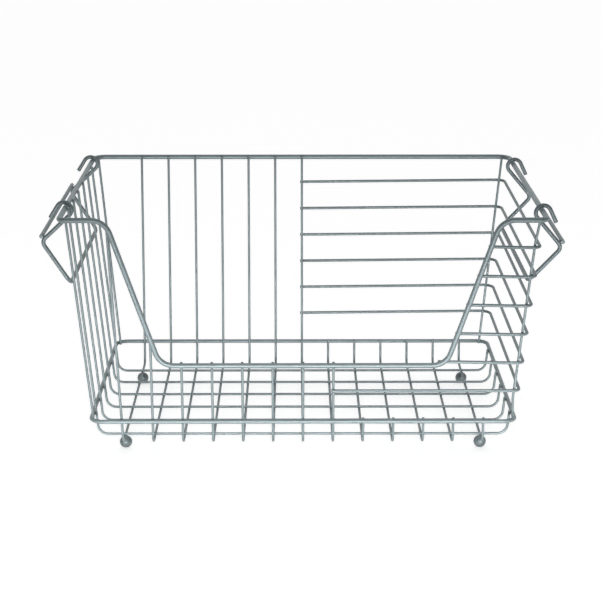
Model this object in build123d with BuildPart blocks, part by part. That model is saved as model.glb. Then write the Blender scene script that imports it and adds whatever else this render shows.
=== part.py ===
from build123d import *
import os
from math import acos, atan2, cos, hypot, pi, radians, sin, sqrt, tan

# Wire locker basket: a tapered grid basket on four ball feet. Its rim dips at the front
# to a low scoop, and a hinged bail hangs from the rim at each end.
# X runs left to right, the scoop faces -Y, +Z is up, and z = 0 is under the feet.

# Wire thicknesses, and how deep a weld sets one wire into the next
rim_gauge = 5.0
ring_gauge = 4.0
grid_gauge = 2.5
wrap_gauge = 3.0
bail_gauge = 4.0
rod_gauge = 4.0
weld_sink = 0.02

# Rim, by its centre line
rim_width = 445.0
rim_depth = 306.0
rim_height = 237.0
rim_back_bend = 13.0
rim_front_bend = 8.0
rim_front_run = 42.1
scoop_low_width = 268.0
scoop_height = 94.0
scoop_top_bend = 18.0
scoop_low_bend = 18.0

# Base ring, by its centre line, and how far it lies inside the rim on every side
wall_taper = 20.5
ring_height = 36.5
ring_bend = 12.5

# Ball feet, welded under the first and last cross wires, by their distance in from the ring
foot_ball = 12.0
foot_front_inset = 29.5
foot_back_inset = 35.5

# Cross wires, front to back, numbered from the left. The first and last lie this far in
# from the ring. The first ones rise up the back wall and the front wall.
cross_count = 13
cross_inset = 30.4
cross_bend = 9.0
back_wall_count = 7
front_wall_count = 8
fan_spread = 8.0

# Floor wires, left to right on top of the cross wires, numbered from the back
floor_count = 6
floor_back_inset = 40.5
floor_front_inset = 24.5
floor_bend = 10.0

# How far cut ends run past the wire that they are welded to
rim_overrun = 1.5
scoop_overrun = 2.5
ring_overrun = 3.0

# Wrap wires, level round the right-hand end, numbered from the top
wrap_count = 6
wrap_top_drop = 26.5
wrap_low_rise = 31.5
wrap_corner_rise = 2.0
wrap_ring_inset = 0.4
wrap_rim_inset = 2.9
wrap_step_in = 16.0
wrap_step_bend = 30.0
wrap_overrun = 2.0
wrap_low_overrun = 8.3

# Corner posts: their turn round each corner, from the front or back run
back_left_turn = 60.0
back_right_top_turn = 32.0
back_right_foot_turn = 24.0
front_top_turn = 30.0
front_foot_turn = 62.0
foot_seat_inset = 1.0
bowed_post_gap = 5.0
bowed_post_slack = 0.3
bowed_post_rise = 23.5
bowed_post_drop = 22.0
bowed_post_bend = 12.0

# Bail, in a plane square to the rim's end: distances out from and down from the rim
hook_radius = 7.1
hook_out = 1.2
hook_down = 1.8
hook_start = 30.0
hook_tail = 13.5
knee_out = 22.3
knee_down = 33.2
knee_bend = 6.0
grip_out = -5.5
grip_bend = 8.0
rod_overhang = 7.0

# How much shorter a bail is than the rim's end, how far back from the rim's front its
# first arm hooks on, how far it hangs out from its drawn angle, and how low its grip is.
# The right grip's height is a share of the wraps' pitch below the top wrap.
bail_room = 81.0
left_hook_inset = 53.0
left_hang = 2.2
left_grip_down = 72.7
right_hook_inset = 38.5
right_hang = -4.5
right_grip_share = 1.45

# Half sizes and seats that several pieces share
rim_x = rim_width / 2
rim_y = rim_depth / 2
ring_x = rim_x - wall_taper
ring_y = rim_y - wall_taper
scoop_top_x = rim_x - rim_front_run
scoop_low_x = scoop_low_width / 2
cross_pitch = 2 * (ring_x - cross_inset) / (cross_count - 1)
floor_back_y = ring_y - floor_back_inset
floor_pitch = (floor_back_y + ring_y - floor_front_inset) / (floor_count - 1)
wrap_top = rim_height - wrap_top_drop
wrap_pitch = (wrap_top - ring_height - wrap_low_rise) / (wrap_count - 1)
right_grip_down = wrap_top_drop + right_grip_share * wrap_pitch
bail_span = rim_depth - bail_room
wall_lean = cos(atan2(rim_y - ring_y, rim_height - ring_height))
rim_seat = ((rim_gauge + grid_gauge) / 2 - weld_sink) / wall_lean
ring_seat = ((ring_gauge + grid_gauge) / 2 - weld_sink) / wall_lean
grid_seat = grid_gauge - weld_sink
wrap_seat = (wrap_gauge + grid_gauge) / 2 - weld_sink
wrap_rim_seat = ((rim_gauge + wrap_gauge) / 2 - weld_sink) / wall_lean
cross_z = foot_ball + grid_gauge / 2 - weld_sink
floor_z = cross_z + grid_seat
slope_angle = atan2(rim_height - scoop_height, scoop_top_x - scoop_low_x)


def reach_at(z, ring_reach, rim_reach, rim_z=rim_height):
    """Distance out from the middle, at height z, of a line through two seats."""
    return ring_reach + (rim_reach - ring_reach) * (z - ring_height) / (rim_z - ring_height)


def wall_y(z):
    """Front and back wall plane: the centre lines of ring and rim lie in it."""
    return reach_at(z, ring_y, rim_y)


def wall_x(z):
    """End wall plane, likewise."""
    return reach_at(z, ring_x, rim_x)


def scoop_z(x):
    """Height of the rim's centre line along the front, with its two bends."""
    low_tangent = scoop_low_bend * tan(slope_angle / 2)
    top_tangent = scoop_top_bend * tan(slope_angle / 2)
    low_start = scoop_low_x - low_tangent
    low_end = scoop_low_x + low_tangent * cos(slope_angle)
    top_start = scoop_top_x - top_tangent * cos(slope_angle)
    top_end = scoop_top_x + top_tangent
    if x <= low_start:
        return scoop_height
    if x < low_end:
        return scoop_height + scoop_low_bend - sqrt(scoop_low_bend**2 - (x - low_start) ** 2)
    if x <= top_start:
        return scoop_height + (x - scoop_low_x) * tan(slope_angle)
    if x < top_end:
        return rim_height - scoop_top_bend + sqrt(scoop_top_bend**2 - (top_end - x) ** 2)
    return rim_height


def bent_wire(gauge, points, bends):
    """Round wire along straight runs joined by bends, one radius for each corner."""
    with BuildPart() as wire:
        with BuildLine() as route:
            if bends:
                FilletPolyline(*points, radius=bends)
            else:
                Line(*points)
        with BuildSketch(Plane(origin=route.line @ 0, z_dir=route.line % 0)):
            Circle(gauge / 2)
        sweep(path=route.line)
    return wire


def hoop(gauge, points, bends):
    """Closed hoop: half of it is bent from the middle of the back to the middle of the
    front, and the other half mirrors it."""
    with BuildPart() as wire:
        with BuildLine() as route:
            FilletPolyline(*points, radius=bends)
        with BuildSketch(Plane(origin=route.line @ 0, z_dir=route.line % 0)):
            Circle(gauge / 2)
        sweep(path=route.line)
        mirror(about=Plane.YZ)
    return wire


def save(piece, name):
    piece.part.label = name
    export_step(piece.part, f"parts/{name}.step")


os.makedirs("parts", exist_ok=True)


# Rim and base ring
top_rim = hoop(
    rim_gauge,
    [
        (0, rim_y, rim_height),
        (rim_x, rim_y, rim_height),
        (rim_x, -rim_y, rim_height),
        (scoop_top_x, -rim_y, rim_height),
        (scoop_low_x, -wall_y(scoop_height), scoop_height),
        (0, -wall_y(scoop_height), scoop_height),
    ],
    [rim_back_bend, rim_front_bend, scoop_top_bend, scoop_low_bend],
)
save(top_rim, "top_rim")

base_ring = hoop(
    ring_gauge,
    [
        (0, ring_y, ring_height),
        (ring_x, ring_y, ring_height),
        (ring_x, -ring_y, ring_height),
        (0, -ring_y, ring_height),
    ],
    [ring_bend, ring_bend],
)
save(base_ring, "base_ring")


# Cross wires: each rises inside the back wall and the front wall, up to the rim or only
# to the ring. Their legs lie against the inner side of both hoops.
def cross_x(number):
    return cross_pitch * (number - (cross_count + 1) / 2)


def front_leg_y(number, z):
    """Distance forward of a front leg at height z."""
    seat_x = abs(cross_x(number)) + (fan_spread if number == 1 else 0)
    if number > front_wall_count:
        return wall_y(z) - ring_seat
    seat_z = scoop_z(seat_x)
    return reach_at(z, ring_y - ring_seat, wall_y(seat_z) - rim_seat, seat_z)


def back_leg_y(number, z):
    """Distance back of a back leg at height z."""
    if number > back_wall_count:
        return wall_y(z) - ring_seat
    return reach_at(z, ring_y - ring_seat, rim_y - rim_seat)


for number in range(1, cross_count + 1):
    x = cross_x(number)
    front_x = x - fan_spread if number == 1 else x
    back_z = rim_height + rim_overrun
    if number > back_wall_count:
        back_z = ring_height + ring_overrun
    front_z = scoop_z(abs(front_x)) + scoop_overrun
    if number > front_wall_count:
        front_z = ring_height + ring_overrun
    cross_wire = bent_wire(
        grid_gauge,
        [
            (x, back_leg_y(number, back_z), back_z),
            (x, back_leg_y(number, cross_z), cross_z),
            (x, -front_leg_y(number, cross_z), cross_z),
            (front_x, -front_leg_y(number, front_z), front_z),
        ],
        [cross_bend, cross_bend],
    )
    save(cross_wire, f"cross_wire_{number:02d}")


# Floor wires: each rises to the rim at the left-hand end and to the ring at the right
def left_leg_x(z):
    return reach_at(z, ring_x - ring_seat, rim_x - rim_seat)


def right_leg_x(z):
    return wall_x(z) - ring_seat


for number in range(1, floor_count + 1):
    y = floor_back_y - floor_pitch * (number - 1)
    left_z = rim_height + rim_overrun
    right_z = ring_height + ring_overrun
    floor_wire = bent_wire(
        grid_gauge,
        [
            (-left_leg_x(left_z), y, left_z),
            (-left_leg_x(floor_z), y, floor_z),
            (right_leg_x(floor_z), y, floor_z),
            (right_leg_x(right_z), y, right_z),
        ],
        [floor_bend, floor_bend],
    )
    save(floor_wire, f"floor_wire_{number}")


# Corner posts. Back posts lie inside both hoops. Front posts lie inside the rim and stand
# on the ring. The front right one bows inwards, because the wrap wires pass outside it.
def on_corner(half_x, half_y, bend, seat, turn):
    """Point inside a hoop's corner, by its turn round the bend from the front or back."""
    radius = bend - seat
    centre_x = half_x - bend
    centre_y = half_y - bend
    return centre_x + radius * sin(radians(turn)), centre_y + radius * cos(radians(turn))


def back_post_line(top_turn, foot_turn):
    top_x, top_y = on_corner(rim_x, rim_y, rim_back_bend, rim_seat, top_turn)
    foot_x, foot_y = on_corner(ring_x, ring_y, ring_bend, ring_seat, foot_turn)
    return (foot_x, foot_y, ring_height), (top_x, top_y, rim_height)


def along(low, high, z):
    """Point at height z on the line through two points."""
    share = (z - low[2]) / (high[2] - low[2])
    return tuple(a + (b - a) * share for a, b in zip(low, high))


def mirrored(point, x_sign, y_sign):
    return point[0] * x_sign, point[1] * y_sign, point[2]


def back_post(top_turn, foot_turn, x_sign):
    low, high = back_post_line(top_turn, foot_turn)
    ends = [along(low, high, ring_height - rim_overrun), along(low, high, rim_height + rim_overrun)]
    return bent_wire(grid_gauge, [mirrored(end, x_sign, 1) for end in ends], [])


save(back_post(back_left_turn, back_left_turn, -1), "post_back_left")
save(back_post(back_right_top_turn, back_right_foot_turn, 1), "post_back_right")

post_top_xy = on_corner(rim_x, rim_y, rim_front_bend, rim_seat, front_top_turn)
post_foot_xy = on_corner(ring_x, ring_y, ring_bend, foot_seat_inset, front_foot_turn)
post_foot = (*post_foot_xy, ring_height + ring_gauge / 2 - weld_sink)
post_top = (*post_top_xy, rim_height + rim_overrun)
post_front_left = bent_wire(
    grid_gauge, [mirrored(post_foot, -1, -1), mirrored(post_top, -1, -1)], []
)
save(post_front_left, "post_front_left")


def wrap_x(z):
    """End run of a wrap wire at height z."""
    return reach_at(z, ring_x - wrap_ring_inset, rim_x - wrap_rim_inset)


def wrap_y(z):
    """Back run of a wrap wire: against the outer side of the middle cross wire."""
    return back_leg_y(back_wall_count, z) + wrap_seat


def bowed_post_point(z, wall_wire_y):
    """Inside the wraps' end runs, and as far forward as the front wall's wires allow."""
    return wrap_x(z) - bowed_post_gap, wall_wire_y - bowed_post_slack, z


knee_low = ring_height + bowed_post_rise
knee_high = rim_height - bowed_post_drop
bowed_low = bowed_post_point(knee_low, front_leg_y(front_wall_count, knee_low))
bowed_high = bowed_post_point(knee_high, back_leg_y(back_wall_count, knee_high))
post_front_right = bent_wire(
    grid_gauge,
    [mirrored(point, 1, -1) for point in (post_foot, bowed_low, bowed_high, post_top)],
    [bowed_post_bend, bowed_post_bend],
)
save(post_front_right, "post_front_right")


# Wrap wires: from the middle of the back wall round the right-hand end, outside the
# posts. Each is a little higher at its back corner. The upper five end behind the
# sloping rim and the lowest on a cross wire.
def corner_bend(post_in_x, post_in_y):
    """Bend radius that brings the wire's inner side onto a post inside its corner."""
    spare = 2 * (post_in_x - wrap_seat) * (post_in_y - wrap_seat)
    return post_in_x + post_in_y - wrap_seat + sqrt(spare)


right_post_line = back_post_line(back_right_top_turn, back_right_foot_turn)
for number in range(1, wrap_count + 1):
    z = wrap_top - wrap_pitch * (number - 1)
    corner_z = z + wrap_corner_rise
    lowest = number == wrap_count
    front_y = front_leg_y(front_wall_count, z) + wrap_seat if lowest else wrap_y(z)
    back_post_x, back_post_y, _ = along(*right_post_line, corner_z)
    front_post_x, front_post_y, _ = along(bowed_low, bowed_high, z)
    bends = [
        corner_bend(wrap_x(corner_z) - back_post_x, wrap_y(corner_z) - back_post_y),
        corner_bend(wrap_x(z) - front_post_x, front_y - front_post_y),
    ]
    points = [
        (-wrap_overrun, wrap_y(z), z),
        (wrap_x(corner_z), wrap_y(corner_z), corner_z),
        (wrap_x(z), -front_y, z),
    ]
    if lowest:
        points.append((cross_x(front_wall_count) - wrap_overrun, -front_y, z))
    else:
        overrun = wrap_low_overrun if number == wrap_count - 1 else wrap_overrun
        step_x = wrap_x(z) - wrap_step_in
        seat_x = scoop_low_x + (z - scoop_height) / tan(slope_angle)
        seat_y = wrap_rim_seat - wall_y(z)
        past = 1 + overrun / (step_x - seat_x)
        points.append((step_x, -front_y, z))
        points.append((step_x + (seat_x - step_x) * past, (seat_y + front_y) * past - front_y, z))
        bends.append(wrap_step_bend)
    wrap_wire = bent_wire(wrap_gauge, points, bends)
    save(wrap_wire, f"wrap_wire_{number}")


# Ball feet
def foot(x, y):
    with BuildPart() as ball:
        with Locations((x, y, foot_ball / 2)):
            Sphere(foot_ball / 2)
    return ball


for side, x in (("left", cross_x(1)), ("right", cross_x(cross_count))):
    save(foot(x, foot_front_inset - ring_y), f"foot_front_{side}")
    save(foot(x, ring_y - foot_back_inset), f"foot_back_{side}")


# Bails: one wire that hooks over the rim at both ends, runs out and down to a knee, and
# back in to the long grip. The hook is an arc, and the arm leaves it at a tangent.
def hook_tangent():
    """Angle of the arm's start on the hook's arc."""
    across = knee_out - hook_out
    along_down = hook_down - knee_down
    return atan2(along_down, across) - acos(hook_radius / hypot(across, along_down)) + 2 * pi


def hook_point(angle):
    return hook_out + hook_radius * cos(angle), hook_radius * sin(angle) - hook_down


def hung(point, side, hang, y):
    """Place a point of the bail's plane on one end's rim, turned to its hanging angle."""
    out, up = point
    turn = radians(hang)
    x = rim_x + out * cos(turn) - up * sin(turn)
    z = rim_height + out * sin(turn) + up * cos(turn)
    return side * x, y, z


def bail(side, hang, front_y, grip_down):
    back_y = front_y + bail_span
    start_angle = radians(hook_start)
    end_angle = hook_tangent()
    start = hook_point(start_angle)
    tail = (
        start[0] + hook_tail * sin(start_angle),
        start[1] - hook_tail * cos(start_angle),
    )
    arch = hook_point((start_angle + end_angle) / 2)
    arm = hook_point(end_angle)
    knee = (knee_out, -knee_down)
    grip = (grip_out, -grip_down)

    def place(point, y):
        return hung(point, side, hang, y)

    with BuildPart() as wire:
        with BuildLine() as route:
            Line(place(tail, front_y), place(start, front_y))
            ThreePointArc(place(start, front_y), place(arch, front_y), place(arm, front_y))
            FilletPolyline(
                place(arm, front_y),
                place(knee, front_y),
                place(grip, front_y),
                place(grip, back_y),
                place(knee, back_y),
                place(arm, back_y),
                radius=[knee_bend, grip_bend, grip_bend, knee_bend],
            )
            ThreePointArc(place(arm, back_y), place(arch, back_y), place(start, back_y))
            Line(place(start, back_y), place(tail, back_y))
        tail_tip = Vector(*place(tail, front_y))
        tail_top = Vector(*place(start, front_y))
        with BuildSketch(Plane(origin=tail_tip, z_dir=tail_top - tail_tip)):
            Circle(bail_gauge / 2)
        sweep(path=route.wire())
    return wire


def bail_rod(side, hang, front_y, grip_down):
    """Straight rod on the arms' outer side, where they start to turn at the knee."""
    arm = hook_point(hook_tangent())
    run = (knee_out - arm[0], -knee_down - arm[1])
    length = hypot(*run)
    along_arm = (run[0] / length, run[1] / length)
    arm_drop = atan2(-along_arm[1], along_arm[0])
    grip_drop = atan2(grip_down - knee_down, knee_out - grip_out)
    knee_turn = pi - arm_drop - grip_drop
    setback = knee_bend * tan(knee_turn / 2)
    lift = (bail_gauge + rod_gauge) / 2 - weld_sink
    centre = (
        knee_out - setback * along_arm[0] - lift * along_arm[1],
        -knee_down - setback * along_arm[1] + lift * along_arm[0],
    )
    with BuildPart() as rod:
        start = hung(centre, side, hang, front_y - rod_overhang)
        with BuildSketch(Plane(origin=start, z_dir=(0, 1, 0))):
            Circle(rod_gauge / 2)
        extrude(amount=bail_span + 2 * rod_overhang)
    return rod


left_fit = (-1, left_hang, left_hook_inset - rim_y, left_grip_down)
right_fit = (1, right_hang, right_hook_inset - rim_y, right_grip_down)
save(bail(*left_fit), "left_bail")
save(bail_rod(*left_fit), "left_bail_rod")
save(bail(*right_fit), "right_bail")
save(bail_rod(*right_fit), "right_bail_rod")
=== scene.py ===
import bmesh
import bpy
from math import acos, atan2, ceil, cos, hypot, pi, radians, sin, sqrt, tan
from mathutils import Matrix, Vector, geometry, kdtree, noise


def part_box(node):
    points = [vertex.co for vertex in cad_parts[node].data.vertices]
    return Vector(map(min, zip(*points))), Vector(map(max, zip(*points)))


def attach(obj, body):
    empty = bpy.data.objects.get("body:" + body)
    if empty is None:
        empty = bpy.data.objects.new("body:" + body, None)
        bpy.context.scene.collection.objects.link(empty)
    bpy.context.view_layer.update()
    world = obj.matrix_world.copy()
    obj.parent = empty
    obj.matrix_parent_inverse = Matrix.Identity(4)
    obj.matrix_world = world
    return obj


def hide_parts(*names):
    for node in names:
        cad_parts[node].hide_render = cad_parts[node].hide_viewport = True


# Wire locker basket: every wire is swept again as smooth coated wire with rounded cut
# ends, and each weld gets the fillet that its powder coat leaves.
# Lengths are millimetres, in the part's own frame; meshes are made in metres.
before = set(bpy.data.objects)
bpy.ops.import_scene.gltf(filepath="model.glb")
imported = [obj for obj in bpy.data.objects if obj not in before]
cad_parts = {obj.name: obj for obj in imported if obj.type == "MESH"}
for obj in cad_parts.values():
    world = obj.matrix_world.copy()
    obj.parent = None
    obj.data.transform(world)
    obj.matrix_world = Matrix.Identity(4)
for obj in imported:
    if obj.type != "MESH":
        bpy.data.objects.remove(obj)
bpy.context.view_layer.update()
millimetre = 0.001


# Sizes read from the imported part
def node_box(node):
    """Lowest and highest corners of a CAD node, in millimetres."""
    low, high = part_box(node)
    return low / millimetre, high / millimetre


rim_gauge = 5.0
ring_gauge = 4.0
grid_gauge = 2.5
wrap_gauge = 3.0
bail_gauge = 4.0
weld_sink = 0.02
rim_low, rim_high = node_box("top_rim")
ring_high = node_box("base_ring")[1]
rim_x = rim_high.x - rim_gauge / 2
rim_y = rim_high.y - rim_gauge / 2
rim_height = rim_high.z - rim_gauge / 2
ring_x = ring_high.x - ring_gauge / 2
ring_y = ring_high.y - ring_gauge / 2
ring_height = ring_high.z - ring_gauge / 2

# Bends and places that the boxes don't give: turns, hangs and the hook's start are degrees
rim_back_bend = 13.0
rim_front_bend = 8.0
rim_front_run = 42.1
scoop_low_width = 268.0
scoop_height = rim_low.z + rim_gauge / 2
scoop_top_bend = 18.0
scoop_low_bend = 18.0
ring_bend = 12.5
foot_ball = 12.0
cross_count = 13
cross_bend = 9.0
back_wall_count = 7
front_wall_count = 8
fan_spread = 8.0
floor_count = 6
floor_bend = 10.0
rim_overrun = 1.5
scoop_overrun = 2.5
ring_overrun = 3.0
wrap_count = 6
wrap_ring_inset = 0.4
wrap_rim_inset = 2.9
wrap_step_in = 16.0
wrap_step_bend = 30.0
wrap_overrun = 2.0
wrap_low_overrun = 8.3
wrap_corner_rise = 2.0
back_left_turns = (60.0, 60.0)
back_right_turns = (32.0, 24.0)
front_top_turn = 30.0
front_foot_turn = 62.0
foot_seat_inset = 1.0
bowed_post_gap = 5.0
bowed_post_slack = 0.3
bowed_post_rise = 23.5
bowed_post_drop = 22.0
bowed_post_bend = 12.0
hook_radius = 7.1
hook_out = 1.2
hook_down = 1.8
hook_start = 30.0
hook_tail = 13.5
knee_out = 22.3
knee_down = 33.2
knee_bend = 6.0
grip_out = -5.5
left_grip_down = 72.7
right_grip_down = 67.825
grip_bend = 8.0
left_hang = 2.2
right_hang = -4.5

scoop_top_x = rim_x - rim_front_run
scoop_low_x = scoop_low_width / 2
wall_lean = cos(atan2(rim_y - ring_y, rim_height - ring_height))
rim_seat = ((rim_gauge + grid_gauge) / 2 - weld_sink) / wall_lean
ring_seat = ((ring_gauge + grid_gauge) / 2 - weld_sink) / wall_lean
grid_seat = grid_gauge - weld_sink
wrap_seat = (wrap_gauge + grid_gauge) / 2 - weld_sink
wrap_rim_seat = ((rim_gauge + wrap_gauge) / 2 - weld_sink) / wall_lean
cross_z = foot_ball + grid_gauge / 2 - weld_sink
floor_z = cross_z + grid_seat
slope_angle = atan2(rim_height - scoop_height, scoop_top_x - scoop_low_x)

# How the meshes are divided
bend_step = radians(7.5)
least_bend_steps = 3
run_step = 8.0
sides_factor = 7.0
cut_round = 0.45
cut_shares = (0, 0.35, 0.65, 0.85, 1)
ball_columns = 64
ball_rows = 40


# Routes of the wires
def reach_at(z, ring_reach, rim_reach, rim_z=rim_height):
    """Distance out from the middle, at height z, of a line through two seats."""
    return ring_reach + (rim_reach - ring_reach) * (z - ring_height) / (rim_z - ring_height)


def wall_y(z):
    return reach_at(z, ring_y, rim_y)


def wall_x(z):
    return reach_at(z, ring_x, rim_x)


def scoop_z(x):
    """Height of the rim's centre line along the front, with its two bends."""
    low_tangent = scoop_low_bend * tan(slope_angle / 2)
    top_tangent = scoop_top_bend * tan(slope_angle / 2)
    low_start = scoop_low_x - low_tangent
    low_end = scoop_low_x + low_tangent * cos(slope_angle)
    top_start = scoop_top_x - top_tangent * cos(slope_angle)
    top_end = scoop_top_x + top_tangent
    if x <= low_start:
        return scoop_height
    if x < low_end:
        return scoop_height + scoop_low_bend - sqrt(scoop_low_bend**2 - (x - low_start) ** 2)
    if x <= top_start:
        return scoop_height + (x - scoop_low_x) * tan(slope_angle)
    if x < top_end:
        return rim_height - scoop_top_bend + sqrt(scoop_top_bend**2 - (top_end - x) ** 2)
    return rim_height


def bent(points, bends):
    """Points along straight runs joined by round bends, close enough to look smooth."""
    points = [Vector(point) for point in points]
    path = [points[0]]
    for before, corner, after, bend in zip(points, points[1:], points[2:], bends):
        arriving = (corner - before).normalized()
        leaving = (after - corner).normalized()
        turn = arriving.angle(leaving)
        setback = bend * tan(turn / 2)
        start = corner - arriving * setback
        inward = (leaving - arriving * cos(turn)).normalized()
        steps = max(least_bend_steps, ceil(turn / bend_step))
        add_run(path, start)
        for step in range(1, steps + 1):
            angle = turn * step / steps
            path.append(start + arriving * bend * sin(angle) + inward * bend * (1 - cos(angle)))
    add_run(path, points[-1])
    return path


def add_run(path, end):
    """Straight run to a point, in even steps."""
    start = path[-1]
    steps = max(1, ceil((end - start).length / run_step))
    path.extend(start.lerp(end, step / steps) for step in range(1, steps + 1))


def mirrored(point, x_sign, y_sign):
    return Vector((point[0] * x_sign, point[1] * y_sign, point[2]))


def hoop_path(points, bends):
    """Closed path: half a hoop and its mirror image."""
    half = bent(points, bends)
    return half + [mirrored(point, -1, 1) for point in reversed(half[1:-1])]


def rim_path():
    front_y = -wall_y(scoop_height)
    points = [
        (0, rim_y, rim_height),
        (rim_x, rim_y, rim_height),
        (rim_x, -rim_y, rim_height),
        (scoop_top_x, -rim_y, rim_height),
        (scoop_low_x, front_y, scoop_height),
        (0, front_y, scoop_height),
    ]
    return hoop_path(points, [rim_back_bend, rim_front_bend, scoop_top_bend, scoop_low_bend])


def ring_path():
    points = [
        (0, ring_y, ring_height),
        (ring_x, ring_y, ring_height),
        (ring_x, -ring_y, ring_height),
        (0, -ring_y, ring_height),
    ]
    return hoop_path(points, [ring_bend, ring_bend])


def cross_x(number):
    """A cross wire's place, by the inner side of its node's box."""
    high = node_box(f"cross_wire_{number:02d}")[1]
    return high.x - grid_gauge / 2


def front_leg_y(number, z):
    if number > front_wall_count:
        return wall_y(z) - ring_seat
    seat_z = scoop_z(abs(cross_x(number)) + (fan_spread if number == 1 else 0))
    return reach_at(z, ring_y - ring_seat, wall_y(seat_z) - rim_seat, seat_z)


def back_leg_y(number, z):
    if number > back_wall_count:
        return wall_y(z) - ring_seat
    return reach_at(z, ring_y - ring_seat, rim_y - rim_seat)


def cross_path(number):
    x = cross_x(number)
    front_x = x - fan_spread if number == 1 else x
    ring_top = ring_height + ring_overrun
    back_z = rim_height + rim_overrun if number <= back_wall_count else ring_top
    front_z = scoop_z(abs(front_x)) + scoop_overrun if number <= front_wall_count else ring_top
    points = [
        (x, back_leg_y(number, back_z), back_z),
        (x, back_leg_y(number, cross_z), cross_z),
        (x, -front_leg_y(number, cross_z), cross_z),
        (front_x, -front_leg_y(number, front_z), front_z),
    ]
    return bent(points, [cross_bend, cross_bend])


def floor_path(number):
    low, high = node_box(f"floor_wire_{number}")
    y = (low.y + high.y) / 2
    left_z = rim_height + rim_overrun
    right_z = ring_height + ring_overrun

    def left_x(z):
        return -reach_at(z, ring_x - ring_seat, rim_x - rim_seat)

    def right_x(z):
        return wall_x(z) - ring_seat

    points = [
        (left_x(left_z), y, left_z),
        (left_x(floor_z), y, floor_z),
        (right_x(floor_z), y, floor_z),
        (right_x(right_z), y, right_z),
    ]
    return bent(points, [floor_bend, floor_bend])


def on_corner(half_x, half_y, bend, seat, turn):
    """Point inside a hoop's corner, by its turn round the bend from the front or back."""
    radius = bend - seat
    across = half_x - bend + radius * sin(radians(turn))
    return across, half_y - bend + radius * cos(radians(turn))


def back_post_line(top_turn, foot_turn):
    top = on_corner(rim_x, rim_y, rim_back_bend, rim_seat, top_turn)
    foot = on_corner(ring_x, ring_y, ring_bend, ring_seat, foot_turn)
    return (*foot, ring_height), (*top, rim_height)


def along(low, high, z):
    """Point at height z on the line through two points."""
    share = (z - low[2]) / (high[2] - low[2])
    return tuple(a + (b - a) * share for a, b in zip(low, high))


def back_post_path(turns, x_sign):
    low, high = back_post_line(*turns)
    bottom = along(low, high, ring_height - rim_overrun)
    top = along(low, high, rim_height + rim_overrun)
    return bent([mirrored(bottom, x_sign, 1), mirrored(top, x_sign, 1)], [])


def wrap_x(z):
    return reach_at(z, ring_x - wrap_ring_inset, rim_x - wrap_rim_inset)


def wrap_y(z):
    return back_leg_y(back_wall_count, z) + wrap_seat


def bowed_post_ends():
    """The two knees of the front right post, just inside the wraps' front corners."""
    low_z = ring_height + bowed_post_rise
    high_z = rim_height - bowed_post_drop
    low_y = front_leg_y(front_wall_count, low_z) - bowed_post_slack
    high_y = back_leg_y(back_wall_count, high_z) - bowed_post_slack
    low = (wrap_x(low_z) - bowed_post_gap, low_y, low_z)
    return low, (wrap_x(high_z) - bowed_post_gap, high_y, high_z)


def front_post_path(x_sign, knees, bends):
    foot_xy = on_corner(ring_x, ring_y, ring_bend, foot_seat_inset, front_foot_turn)
    top_xy = on_corner(rim_x, rim_y, rim_front_bend, rim_seat, front_top_turn)
    foot = (*foot_xy, ring_height + ring_gauge / 2 - weld_sink)
    top = (*top_xy, rim_height + rim_overrun)
    return bent([mirrored(point, x_sign, -1) for point in (foot, *knees, top)], bends)


def corner_bend(post_in_x, post_in_y):
    """Bend radius that brings the wire's inner side onto a post inside its corner."""
    spare = 2 * (post_in_x - wrap_seat) * (post_in_y - wrap_seat)
    return post_in_x + post_in_y - wrap_seat + sqrt(spare)


def wrap_path(number):
    low = node_box(f"wrap_wire_{number}")[0]
    z = low.z + wrap_gauge / 2
    corner_z = z + wrap_corner_rise
    lowest = number == wrap_count
    front_y = front_leg_y(front_wall_count, z) + wrap_seat if lowest else wrap_y(z)
    back_post_x, back_post_y, _ = along(*back_post_line(*back_right_turns), corner_z)
    front_post_x, front_post_y, _ = along(*bowed_post_ends(), z)
    bends = [
        corner_bend(wrap_x(corner_z) - back_post_x, wrap_y(corner_z) - back_post_y),
        corner_bend(wrap_x(z) - front_post_x, front_y - front_post_y),
    ]
    points = [
        (-wrap_overrun, wrap_y(z), z),
        (wrap_x(corner_z), wrap_y(corner_z), corner_z),
        (wrap_x(z), -front_y, z),
    ]
    if lowest:
        points.append((cross_x(front_wall_count) - wrap_overrun, -front_y, z))
        return bent(points, bends)
    overrun = wrap_low_overrun if number == wrap_count - 1 else wrap_overrun
    step_x = wrap_x(z) - wrap_step_in
    seat_x = scoop_low_x + (z - scoop_height) / tan(slope_angle)
    seat_y = wrap_rim_seat - wall_y(z)
    past = 1 + overrun / (step_x - seat_x)
    points.append((step_x, -front_y, z))
    points.append((step_x + (seat_x - step_x) * past, (seat_y + front_y) * past - front_y, z))
    return bent(points, [*bends, wrap_step_bend])


def hook_tangent():
    """Angle of the arm's start on the hook's arc."""
    across = knee_out - hook_out
    drop = hook_down - knee_down
    return atan2(drop, across) - acos(hook_radius / hypot(across, drop)) + 2 * pi


def hook_point(angle):
    return hook_out + hook_radius * cos(angle), hook_radius * sin(angle) - hook_down


def hung(point, side, hang, y):
    """Place a point of the bail's plane on one end's rim, turned to its hanging angle."""
    out, up = point
    turn = radians(hang)
    x = rim_x + out * cos(turn) - up * sin(turn)
    return Vector((side * x, y, rim_height + out * sin(turn) + up * cos(turn)))


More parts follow.
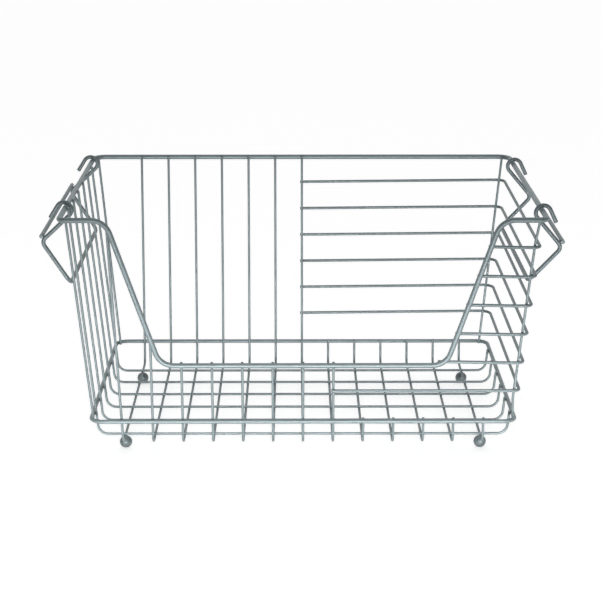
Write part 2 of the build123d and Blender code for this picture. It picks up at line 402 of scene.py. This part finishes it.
def bail_path(node, side, hang, grip_down):
    low, high = node_box(node)
    front_y = low.y + bail_gauge / 2
    back_y = high.y - bail_gauge / 2
    first = radians(hook_start)
    last = hook_tangent()
    steps = ceil((last - first) / bend_step)
    hook = [hook_point(first + (last - first) * step / steps) for step in range(steps + 1)]
    tail = (hook[0][0] + hook_tail * sin(first), hook[0][1] - hook_tail * cos(first))
    corners = [hook[-1], (knee_out, -knee_down), (grip_out, -grip_down)]
    front = [hung(corner, side, hang, front_y) for corner in corners]
    back = [hung(corner, side, hang, back_y) for corner in reversed(corners)]
    loop = bent(front + back, [knee_bend, grip_bend, grip_bend, knee_bend])
    front_hook = [hung(point, side, hang, front_y) for point in [tail, *hook[:-1]]]
    back_hook = [hung(point, side, hang, back_y) for point in [tail, *hook[:-1]]]
    return front_hook + loop + back_hook[::-1]


def rod_path(node):
    """A bail's rod, along the middle of its node's box."""
    low, high = node_box(node)
    middle = (low + high) / 2
    return bent([(middle.x, low.y, middle.z), (middle.x, high.y, middle.z)], [])


# Meshes
def mesh_piece(name, vertices, faces, material):
    """Coated piece from points in millimetres, with all faces turned outwards."""
    mesh = bpy.data.meshes.new(name)
    mesh.from_pydata([tuple(vertex * millimetre) for vertex in vertices], [], faces)
    mesh.update()
    outward = bmesh.new()
    outward.from_mesh(mesh)
    bmesh.ops.recalc_face_normals(outward, faces=outward.faces)
    outward.to_mesh(mesh)
    outward.free()
    mesh.shade_smooth()
    mesh.materials.append(material)
    piece = bpy.data.objects.new(name, mesh)
    bpy.context.scene.collection.objects.link(piece)
    return piece


def tangents(path, closed):
    """Direction of the path at each of its points."""
    count = len(path)
    found = []
    for index in range(count):
        before = path[index - 1] if closed or index > 0 else path[0]
        after = path[(index + 1) % count] if closed or index < count - 1 else path[-1]
        found.append((after - before).normalized())
    return found


def wire_sides(gauge):
    return 2 * ceil(sides_factor * sqrt(gauge))


def wire_rings(path, gauge, closed):
    """Rings of points round a path, without twist, with rounded rings at its cut ends."""
    sides = wire_sides(gauge)
    radius = gauge / 2
    directions = tangents(path, closed)
    side_way = directions[0].orthogonal().normalized()
    stations = []
    for point, direction in zip(path, directions):
        side_way = (side_way - direction * side_way.dot(direction)).normalized()
        stations.append((point, direction, side_way.copy(), radius))
    if not closed:
        first_end = rounded_end(stations[0], -1)
        last_end = rounded_end(stations[-1], 1)
        stations = first_end[::-1] + stations[1:-1] + last_end
    rings = []
    for point, direction, side_way, reach in stations:
        other_way = direction.cross(side_way)
        for index in range(sides):
            angle = 2 * pi * index / sides
            rings.append(point + (side_way * cos(angle) + other_way * sin(angle)) * reach)
    return rings, len(stations), sides


def rounded_end(station, way):
    """Stations that round off the edge of a cut end, from the wire out to its tip."""
    point, direction, side_way, radius = station
    found = []
    for share in cut_shares:
        angle = share * pi / 2
        reach = radius - cut_round * (1 - cos(angle))
        place = point - direction * way * cut_round * (1 - sin(angle))
        found.append((place, direction, side_way, reach))
    return found


def tube_faces(rows, around, closed=False):
    """Four-sided faces between the rows of points that go round a tube."""
    faces = []
    for row in range(rows if closed else rows - 1):
        near = row * around
        far = (row + 1) % rows * around
        for index in range(around):
            beside = (index + 1) % around
            faces.append((near + index, near + beside, far + beside, far + index))
    return faces


def close_end(vertices, faces, first, around, tip):
    """Fan of faces from one row of a tube to a point that closes it."""
    vertices.append(tip)
    last = len(vertices) - 1
    faces.extend((first + index, first + (index + 1) % around, last) for index in range(around))


def wire(name, path, gauge, material, closed=False):
    """Smooth round wire along a path, closed or with two rounded cut ends."""
    vertices, stations, sides = wire_rings(path, gauge, closed)
    faces = tube_faces(stations, sides, closed)
    if not closed:
        for first in (0, (stations - 1) * sides):
            middle = sum(vertices[first:first + sides], Vector()) / sides
            close_end(vertices, faces, first, sides, middle)
    return mesh_piece(name, vertices, faces, material)


# Welds: found where two wires of one body touch
weld_gap = 0.55
foot_weld_gap = 1.0
weld_columns = 20
weld_rows = 5
weld_rough_share = 0.16
weld_lump_scale = 1.7
weld_hollow_share = 0.38
least_opening = 0.001


def sampled(path, closed, step):
    """Points along a path at short steps, each with the number of its stretch."""
    found = []
    ends = path[1:] + path[:1] if closed else path[1:]
    for number, (start, end) in enumerate(zip(path, ends)):
        steps = max(1, ceil((end - start).length / step))
        found.extend((start.lerp(end, index / steps), number) for index in range(steps))
    return found


def stretch(path, number):
    return path[number], path[(number + 1) % len(path)]


def closest_places(first_path, first_number, second_path, second_number):
    """Nearest points of two stretches, each with its direction."""
    a, b = stretch(first_path, first_number)
    c, d = stretch(second_path, second_number)
    crossing = geometry.intersect_line_line(a, b, c, d)
    if crossing is None:
        near = geometry.intersect_point_line((c + d) / 2, a, b)[0]
        crossing = (near, geometry.intersect_point_line(near, c, d)[0])
    places = []
    for point, start, end in ((crossing[0], a, b), (crossing[1], c, d)):
        share = geometry.intersect_point_line(point, start, end)[1]
        places.append(start.lerp(end, min(1, max(0, share))))
    return places[0], (b - a).normalized(), places[1], (d - c).normalized()


def touching(first, second, reach=0.35, apart=7.0, step=1.5):
    """Where two wires touch: nearest points of their centre lines, and both directions."""
    path_a, gauge_a, closed_a = first
    path_b, gauge_b, closed_b = second
    seat = (gauge_a + gauge_b) / 2
    samples_a = sampled(path_a, closed_a, step)
    samples_b = sampled(path_b, closed_b, step)
    tree = kdtree.KDTree(len(samples_b))
    for index, (point, _) in enumerate(samples_b):
        tree.insert(point, index)
    tree.balance()
    near = []
    for point, number_a in samples_a:
        _, index, distance = tree.find(point)
        if distance < seat + 2 * step:
            near.append((distance, number_a, samples_b[index][1]))
    found = []
    for _, number_a, number_b in sorted(near):
        place_a, way_a, place_b, way_b = closest_places(path_a, number_a, path_b, number_b)
        gap = (place_b - place_a).length - seat
        if gap < reach and all((place_a - other[0]).length > apart for other in found):
            found.append((place_a, way_a, place_b, way_b))
    return found


def on_wire(centre, axis, radius, normal, offset):
    """Point on a round wire's surface, a small offset from its touching point."""
    across = normal.cross(axis)
    angle = offset.dot(across) / radius
    return centre + axis * offset.dot(axis) + (normal * cos(angle) + across * sin(angle)) * radius


def on_ball(centre, radius, normal, offset):
    angle = offset.length / radius
    return centre + (normal * cos(angle) + offset.normalized() * sin(angle)) * radius


def weld_mesh(place_a, place_b, surface_a, surface_b, reach_at_angle, seed):
    """Closed collar between two touching surfaces, hollowed like a coat's fillet."""
    normal = (place_b - place_a).normalized()
    first_way = normal.orthogonal().normalized()
    second_way = normal.cross(first_way)
    vertices = []
    for row in range(weld_rows):
        share = row / (weld_rows - 1)
        for index in range(weld_columns):
            angle = 2 * pi * index / weld_columns
            way = first_way * cos(angle) + second_way * sin(angle)
            lump = noise.noise(Vector((cos(angle), sin(angle), seed)) * weld_lump_scale)
            reach = reach_at_angle(way) * (1 + weld_rough_share * lump)
            edge_a = surface_a(way * reach)
            edge_b = surface_b(way * reach)
            hollow = sin(pi * share) * (edge_b - edge_a).length * weld_hollow_share
            vertices.append(edge_a.lerp(edge_b, share) - way * hollow)
    faces = tube_faces(weld_rows, weld_columns)
    middle = (place_a + place_b) / 2
    for first in (0, (weld_rows - 1) * weld_columns):
        close_end(vertices, faces, first, weld_columns, middle)
    return vertices, faces


def wire_weld(contact, gauge_a, gauge_b, seed):
    """Collar between two touching wires, out to where the gap is too wide for the coat."""
    place_a, way_a, place_b, way_b = contact
    radius_a = gauge_a / 2 - weld_sink
    radius_b = gauge_b / 2 - weld_sink
    normal = (place_b - place_a).normalized()
    way_a = (way_a - normal * way_a.dot(normal)).normalized()
    way_b = (way_b - normal * way_b.dot(normal)).normalized()

    def reach(way):
        opening = way.dot(normal.cross(way_a)) ** 2 / gauge_a
        opening += way.dot(normal.cross(way_b)) ** 2 / gauge_b
        return min(sqrt(weld_gap / max(opening, least_opening)), gauge_a, gauge_b)

    return weld_mesh(
        place_a,
        place_b,
        lambda offset: on_wire(place_a, way_a, radius_a, normal, offset),
        lambda offset: on_wire(place_b, way_b, radius_b, -normal, offset),
        reach,
        seed,
    )


def ball_weld(ball, place, way, seed):
    """Collar between a ball foot and the wire that stands on it."""
    normal = (place - ball).normalized()

    def reach(direction):
        opening = 1 / foot_ball + direction.dot(normal.cross(way)) ** 2 / grid_gauge
        return sqrt(foot_weld_gap / opening)

    return weld_mesh(
        ball,
        place,
        lambda offset: on_ball(ball, foot_ball / 2 - weld_sink, normal, offset),
        lambda offset: on_wire(place, way, grid_gauge / 2 - weld_sink, -normal, offset),
        reach,
        seed,
    )


def joined(parts):
    """Vertices and faces of several meshes as one."""
    vertices = []
    faces = []
    for part_vertices, part_faces in parts:
        first = len(vertices)
        vertices.extend(part_vertices)
        faces.extend(tuple(first + index for index in face) for face in part_faces)
    return vertices, faces


# Powder coat
coat_colour = (0.237, 0.287, 0.3)
coat_roughness = 0.47
coat_metallic = 0.38
thick_coat_share = 1.03
thin_coat_share = 0.93
cloud_share = 0.75
roughness_swing = 0.12
peel_strength = 0.35


def add_node(tree, kind, **values):
    node = tree.nodes.new(kind)
    for name, value in values.items():
        setattr(node, name, value)
    return node


def group_socket(tree, name, way, kind, value=None):
    socket = tree.interface.new_socket(name, in_out=way, socket_type=kind)
    if value is not None:
        socket.default_value = value


def noise_texture(tree, vector, scale, detail):
    texture = add_node(tree, "ShaderNodeTexNoise")
    texture.inputs["Scale"].default_value = scale
    texture.inputs["Detail"].default_value = detail
    tree.links.new(vector, texture.inputs["Vector"])
    return texture.outputs["Fac"]


def math_node(tree, operation, first, second):
    node = add_node(tree, "ShaderNodeMath", operation=operation)
    for socket, value in zip(node.inputs, (first, second)):
        if isinstance(value, (int, float)):
            socket.default_value = value
        else:
            tree.links.new(value, socket)
    return node.outputs[0]


def peel_group():
    """Height of the coat: fine grain of the powder over the soft waves of orange peel."""
    tree = bpy.data.node_groups.new("coat_peel", "ShaderNodeTree")
    group_socket(tree, "Position", "INPUT", "NodeSocketVector")
    group_socket(tree, "Wave", "INPUT", "NodeSocketFloat", 0.7)
    group_socket(tree, "Grain", "INPUT", "NodeSocketFloat", 0.3)
    group_socket(tree, "Height", "OUTPUT", "NodeSocketFloat")
    ins = add_node(tree, "NodeGroupInput")
    outs = add_node(tree, "NodeGroupOutput")
    waves = noise_texture(tree, ins.outputs["Position"], scale=900.0, detail=1.0)
    grain = noise_texture(tree, ins.outputs["Position"], scale=3800.0, detail=2.0)
    wave_part = math_node(tree, "MULTIPLY", waves, ins.outputs["Wave"])
    grain_part = math_node(tree, "MULTIPLY", grain, ins.outputs["Grain"])
    tree.links.new(math_node(tree, "ADD", wave_part, grain_part), outs.inputs["Height"])
    return tree


def tone_group():
    """Coat colour and roughness, a little uneven along the wires, with fine flecks."""
    tree = bpy.data.node_groups.new("coat_tone", "ShaderNodeTree")
    group_socket(tree, "Position", "INPUT", "NodeSocketVector")
    group_socket(tree, "Thick coat", "INPUT", "NodeSocketColor", (*coat_colour, 1))
    group_socket(tree, "Thin coat", "INPUT", "NodeSocketColor", (*coat_colour, 1))
    group_socket(tree, "Roughness", "INPUT", "NodeSocketFloat", coat_roughness)
    group_socket(tree, "Color", "OUTPUT", "NodeSocketColor")
    group_socket(tree, "Roughness", "OUTPUT", "NodeSocketFloat")
    ins = add_node(tree, "NodeGroupInput")
    outs = add_node(tree, "NodeGroupOutput")
    clouds = noise_texture(tree, ins.outputs["Position"], scale=38.0, detail=3.0)
    flecks = noise_texture(tree, ins.outputs["Position"], scale=1700.0, detail=1.0)
    spread = add_node(tree, "ShaderNodeMapRange")
    spread.inputs["From Min"].default_value = 0.32
    spread.inputs["From Max"].default_value = 0.68
    tree.links.new(clouds, spread.inputs["Value"])
    cloud_part = math_node(tree, "MULTIPLY", spread.outputs[0], cloud_share)
    fleck_part = math_node(tree, "MULTIPLY", flecks, 1 - cloud_share)
    uneven = math_node(tree, "ADD", cloud_part, fleck_part)
    mix = add_node(tree, "ShaderNodeMix", data_type="RGBA")
    tree.links.new(uneven, mix.inputs["Factor"])
    tree.links.new(ins.outputs["Thin coat"], mix.inputs["A"])
    tree.links.new(ins.outputs["Thick coat"], mix.inputs["B"])
    tree.links.new(mix.outputs["Result"], outs.inputs["Color"])
    centred = math_node(tree, "SUBTRACT", uneven, 0.5)
    swing = math_node(tree, "MULTIPLY", centred, roughness_swing)
    tree.links.new(math_node(tree, "ADD", ins.outputs["Roughness"], swing), outs.inputs["Roughness"])
    return tree


coat_peel = peel_group()
coat_tone = tone_group()


def coat(name, painted_shade_lightness, peel_depth):
    """Semi-gloss powder coat for one kind of piece, with its peel's depth in millimetres. A lightness
    under 1 darkens the coat's colour as painted shade.
    """
    material = bpy.data.materials.new(name)
    material.use_nodes = True
    tree = material.node_tree
    shader = tree.nodes["Principled BSDF"]
    place = add_node(tree, "ShaderNodeTexCoord").outputs["Object"]
    tone = add_node(tree, "ShaderNodeGroup", node_tree=coat_tone)
    peel = add_node(tree, "ShaderNodeGroup", node_tree=coat_peel)
    bump = add_node(tree, "ShaderNodeBump")
    tree.links.new(place, tone.inputs["Position"])
    tree.links.new(place, peel.inputs["Position"])
    thick = [channel * painted_shade_lightness * thick_coat_share for channel in coat_colour]
    thin = [channel * painted_shade_lightness * thin_coat_share for channel in coat_colour]
    tone.inputs["Thick coat"].default_value = (*thick, 1)
    tone.inputs["Thin coat"].default_value = (*thin, 1)
    bump.inputs["Strength"].default_value = peel_strength
    bump.inputs["Distance"].default_value = peel_depth * millimetre
    tree.links.new(tone.outputs["Color"], shader.inputs["Base Color"])
    tree.links.new(tone.outputs["Roughness"], shader.inputs["Roughness"])
    tree.links.new(peel.outputs["Height"], bump.inputs["Height"])
    tree.links.new(bump.outputs["Normal"], shader.inputs["Normal"])
    shader.inputs["Metallic"].default_value = coat_metallic
    return material


# Painted shade: one coat throughout, with darker copies for the grid, wraps, handles, feet and welds,
# the welds' copy darkening the joints.
frame_coat = coat("frame_coat", painted_shade_lightness=1.0, peel_depth=0.06)
grid_coat = coat("grid_coat", painted_shade_lightness=0.97, peel_depth=0.05)
wrap_coat = coat("wrap_coat", painted_shade_lightness=0.88, peel_depth=0.05)
handle_coat = coat("handle_coat", painted_shade_lightness=0.8, peel_depth=0.06)
foot_coat = coat("foot_coat", painted_shade_lightness=0.68, peel_depth=0.06)
weld_coat = coat("weld_coat", painted_shade_lightness=0.85, peel_depth=0.08)

# Every wire's path, gauge, whether it is closed, body, slot and coat
frame_kind = ("basket", "coated_frame", frame_coat)
grid_kind = ("basket", "coated_grid", grid_coat)
wrap_kind = ("basket", "coated_grid", wrap_coat)
wires = {
    "top_rim": (rim_path(), rim_gauge, True, frame_kind),
    "base_ring": (ring_path(), ring_gauge, True, frame_kind),
    "post_back_left": (back_post_path(back_left_turns, -1), grid_gauge, False, grid_kind),
    "post_back_right": (back_post_path(back_right_turns, 1), grid_gauge, False, grid_kind),
    "post_front_left": (front_post_path(-1, [], []), grid_gauge, False, grid_kind),
    "post_front_right": (
        front_post_path(1, bowed_post_ends(), [bowed_post_bend, bowed_post_bend]),
        grid_gauge,
        False,
        grid_kind,
    ),
}
for number in range(1, cross_count + 1):
    wires[f"cross_wire_{number:02d}"] = (cross_path(number), grid_gauge, False, grid_kind)
for number in range(1, floor_count + 1):
    wires[f"floor_wire_{number}"] = (floor_path(number), grid_gauge, False, grid_kind)
for number in range(1, wrap_count + 1):
    wires[f"wrap_wire_{number}"] = (wrap_path(number), wrap_gauge, False, wrap_kind)
for end, *fit in (("left", -1, left_hang, left_grip_down), ("right", 1, right_hang, right_grip_down)):
    kind = (f"{end}_handle", "coated_handles", handle_coat)
    bail = f"{end}_bail"
    wires[bail] = (bail_path(bail, *fit), bail_gauge, False, kind)
    wires[f"{bail}_rod"] = (rod_path(f"{bail}_rod"), bail_gauge, False, kind)

for node, (path, gauge, closed, (body, slot, material)) in wires.items():
    piece = wire(f"coated_{node}", path, gauge, material, closed)
    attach(piece, body)
    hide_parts(node)

# Welds, gathered by what they hold on to
weld_groups = {
    "rim_welds": ("top_rim",),
    "ring_welds": ("base_ring",),
    "floor_welds": ("floor_wire",),
    "wrap_welds": ("wrap_wire",),
    "left_bail_welds": ("left_bail_rod",),
    "right_bail_welds": ("right_bail_rod",),
}


def weld_group(first, second):
    """Name of the group that holds the welds between two wires, or None."""
    for name, marks in weld_groups.items():
        if first.startswith(marks) or second.startswith(marks):
            return name
    return None


welded = {name: [] for name in weld_groups}
names = sorted(wires)
for index, first in enumerate(names):
    path_a, gauge_a, closed_a, kind_a = wires[first]
    for second in names[index + 1:]:
        path_b, gauge_b, closed_b, kind_b = wires[second]
        if kind_a[0] != kind_b[0]:
            continue
        group = weld_group(first, second)
        if group is None:
            continue
        for contact in touching((path_a, gauge_a, closed_a), (path_b, gauge_b, closed_b)):
            seed = len(welded[group]) + index
            welded[group].append(wire_weld(contact, gauge_a, gauge_b, seed))

foot_nodes = ["foot_front_left", "foot_front_right", "foot_back_left", "foot_back_right"]
foot_welds = []
for seed, node in enumerate(foot_nodes):
    low, high = node_box(node)
    ball = (low + high) / 2
    place = Vector((ball.x, ball.y, cross_z))
    foot_welds.append(ball_weld(ball, place, Vector((0, 1, 0)), seed))
welded["foot_welds"] = foot_welds

for name, parts in welded.items():
    piece = mesh_piece(name, *joined(parts), weld_coat)
    body = name.replace("bail_welds", "handle") if "bail" in name else "basket"
    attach(piece, body)


# Ball feet
def ball_foot(node):
    """Ball in the middle of its node's box, in rows of points from its top to its bottom."""
    low, high = node_box(node)
    middle = (low + high) / 2
    radius = foot_ball / 2
    vertices = []
    for row in range(1, ball_rows):
        polar = pi * row / ball_rows
        reach = radius * sin(polar)
        for column in range(ball_columns):
            angle = 2 * pi * column / ball_columns
            offset = Vector((reach * cos(angle), reach * sin(angle), radius * cos(polar)))
            vertices.append(middle + offset)
    faces = tube_faces(ball_rows - 1, ball_columns)
    pole = Vector((0, 0, radius))
    close_end(vertices, faces, 0, ball_columns, middle + pole)
    close_end(vertices, faces, (ball_rows - 2) * ball_columns, ball_columns, middle - pole)
    return mesh_piece(f"coated_{node}", vertices, faces, foot_coat)


for node in foot_nodes:
    piece = ball_foot(node)
    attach(piece, "basket")
    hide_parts(node)


# Floor, light and camera: places and sizes in metres, turns in degrees
white = (1, 1, 1, 1)
floor_colour = (0.8, 0.8, 0.8, 1)
floor_glow = 0.63
floor_reach = 30.0
backdrop_edge = 0.5
camera_place = (-0.0078, -1.7167, 0.5942)
camera_tilt = 74.249
camera_turn = -0.212


def floor_material():
    """Pale matt floor that reads as white, and keeps the shadow of the basket."""
    material = bpy.data.materials.new("pale_floor")
    material.use_nodes = True
    tree = material.node_tree
    tree.nodes.clear()
    matt = add_node(tree, "ShaderNodeBsdfDiffuse")
    matt.inputs["Color"].default_value = floor_colour
    glow = add_node(tree, "ShaderNodeEmission")
    glow.inputs["Color"].default_value = white
    rays = add_node(tree, "ShaderNodeLightPath")
    seen = math_node(tree, "ADD", rays.outputs["Is Camera Ray"], rays.outputs["Is Glossy Ray"])
    seen = math_node(tree, "ADD", seen, rays.outputs["Is Transmission Ray"])
    tree.links.new(math_node(tree, "MULTIPLY", seen, floor_glow), glow.inputs["Strength"])
    both = add_node(tree, "ShaderNodeAddShader")
    out = add_node(tree, "ShaderNodeOutputMaterial")
    tree.links.new(matt.outputs[0], both.inputs[0])
    tree.links.new(glow.outputs[0], both.inputs[1])
    tree.links.new(both.outputs[0], out.inputs["Surface"])
    return material


def floor():
    mesh = bpy.data.meshes.new("floor")
    ways = ((-1, -1), (1, -1), (1, 1), (-1, 1))
    corners = [(x_way * floor_reach, y_way * floor_reach, 0) for x_way, y_way in ways]
    mesh.from_pydata(corners, [], [(0, 1, 2, 3)])
    mesh.materials.append(floor_material())
    piece = bpy.data.objects.new("floor", mesh)
    bpy.context.scene.collection.objects.link(piece)


def softbox(name, place, aim, width, height, spread, watts):
    """Flat lamp whose light is held within a spread, in degrees, by a grid."""
    light = bpy.data.lights.new(name, "AREA")
    light.shape = "RECTANGLE"
    light.size = width
    light.size_y = height
    light.spread = radians(spread)
    light.energy = watts
    lamp = bpy.data.objects.new(name, light)
    way = Vector(aim) - Vector(place)
    lamp.matrix_world = Matrix.Translation(place) @ way.to_track_quat("-Z", "Y").to_matrix().to_4x4()
    bpy.context.scene.collection.objects.link(lamp)


def sun(name, turn, height, spread, strength):
    """Wide soft light from far away, by its turn from the front and its height, in degrees."""
    light = bpy.data.lights.new(name, "SUN")
    light.angle = radians(spread)
    light.energy = strength
    lamp = bpy.data.objects.new(name, light)
    lamp.rotation_euler = (radians(90 - height), 0, radians(turn))
    bpy.context.scene.collection.objects.link(lamp)


def surroundings(fill, backdrop):
    """Faint light from all around and more from behind, where coats mirror a white backdrop."""
    world = bpy.data.worlds.new("studio")
    world.use_nodes = True
    bpy.context.scene.world = world
    tree = world.node_tree
    background = tree.nodes["Background"]
    background.inputs["Color"].default_value = white
    place = add_node(tree, "ShaderNodeTexCoord")
    split = add_node(tree, "ShaderNodeSeparateXYZ")
    behind = add_node(tree, "ShaderNodeMapRange", interpolation_type="SMOOTHSTEP")
    behind.inputs["From Max"].default_value = backdrop_edge
    rays = add_node(tree, "ShaderNodeLightPath")
    tree.links.new(place.outputs["Generated"], split.inputs[0])
    tree.links.new(split.outputs["Y"], behind.inputs["Value"])
    mirrored_rays = rays.outputs["Is Glossy Ray"]
    mirrored_rays = math_node(tree, "ADD", mirrored_rays, rays.outputs["Is Transmission Ray"])
    pale = math_node(tree, "MAXIMUM", mirrored_rays, backdrop)
    pale = math_node(tree, "MULTIPLY", pale, behind.outputs[0])
    seen = math_node(tree, "MAXIMUM", rays.outputs["Is Camera Ray"], pale)
    tree.links.new(math_node(tree, "MAXIMUM", seen, fill), background.inputs["Strength"])


def camera():
    """Camera at the photograph's place and angle, as solved from the wires in it."""
    lens = bpy.data.cameras.new("camera")
    lens.sensor_width = 36.0
    lens.lens = 105.53
    lens.shift_y = 0.01364
    lens.clip_end = 100.0
    view = bpy.data.objects.new("camera", lens)
    view.location = camera_place
    view.rotation_euler = (radians(camera_tilt), 0, radians(camera_turn))
    bpy.context.scene.collection.objects.link(view)
    bpy.context.scene.camera = view


floor()
surroundings(fill=0.08, backdrop=0.8)
softbox(
    "front_strip",
    place=(0, -0.64, 0.036),
    aim=(0, 0, 0.03),
    width=0.9,
    height=0.06,
    spread=58,
    watts=1.0,
)
softbox(
    "key_softbox",
    place=(0.1, -1.75, 0.8),
    aim=(0, 0, 0.15),
    width=0.35,
    height=0.35,
    spread=180,
    watts=2.8,
)
sun("top_light", turn=0, height=85, spread=60, strength=0.38)
camera()
bpy.context.scene.view_settings.view_transform = "Standard"
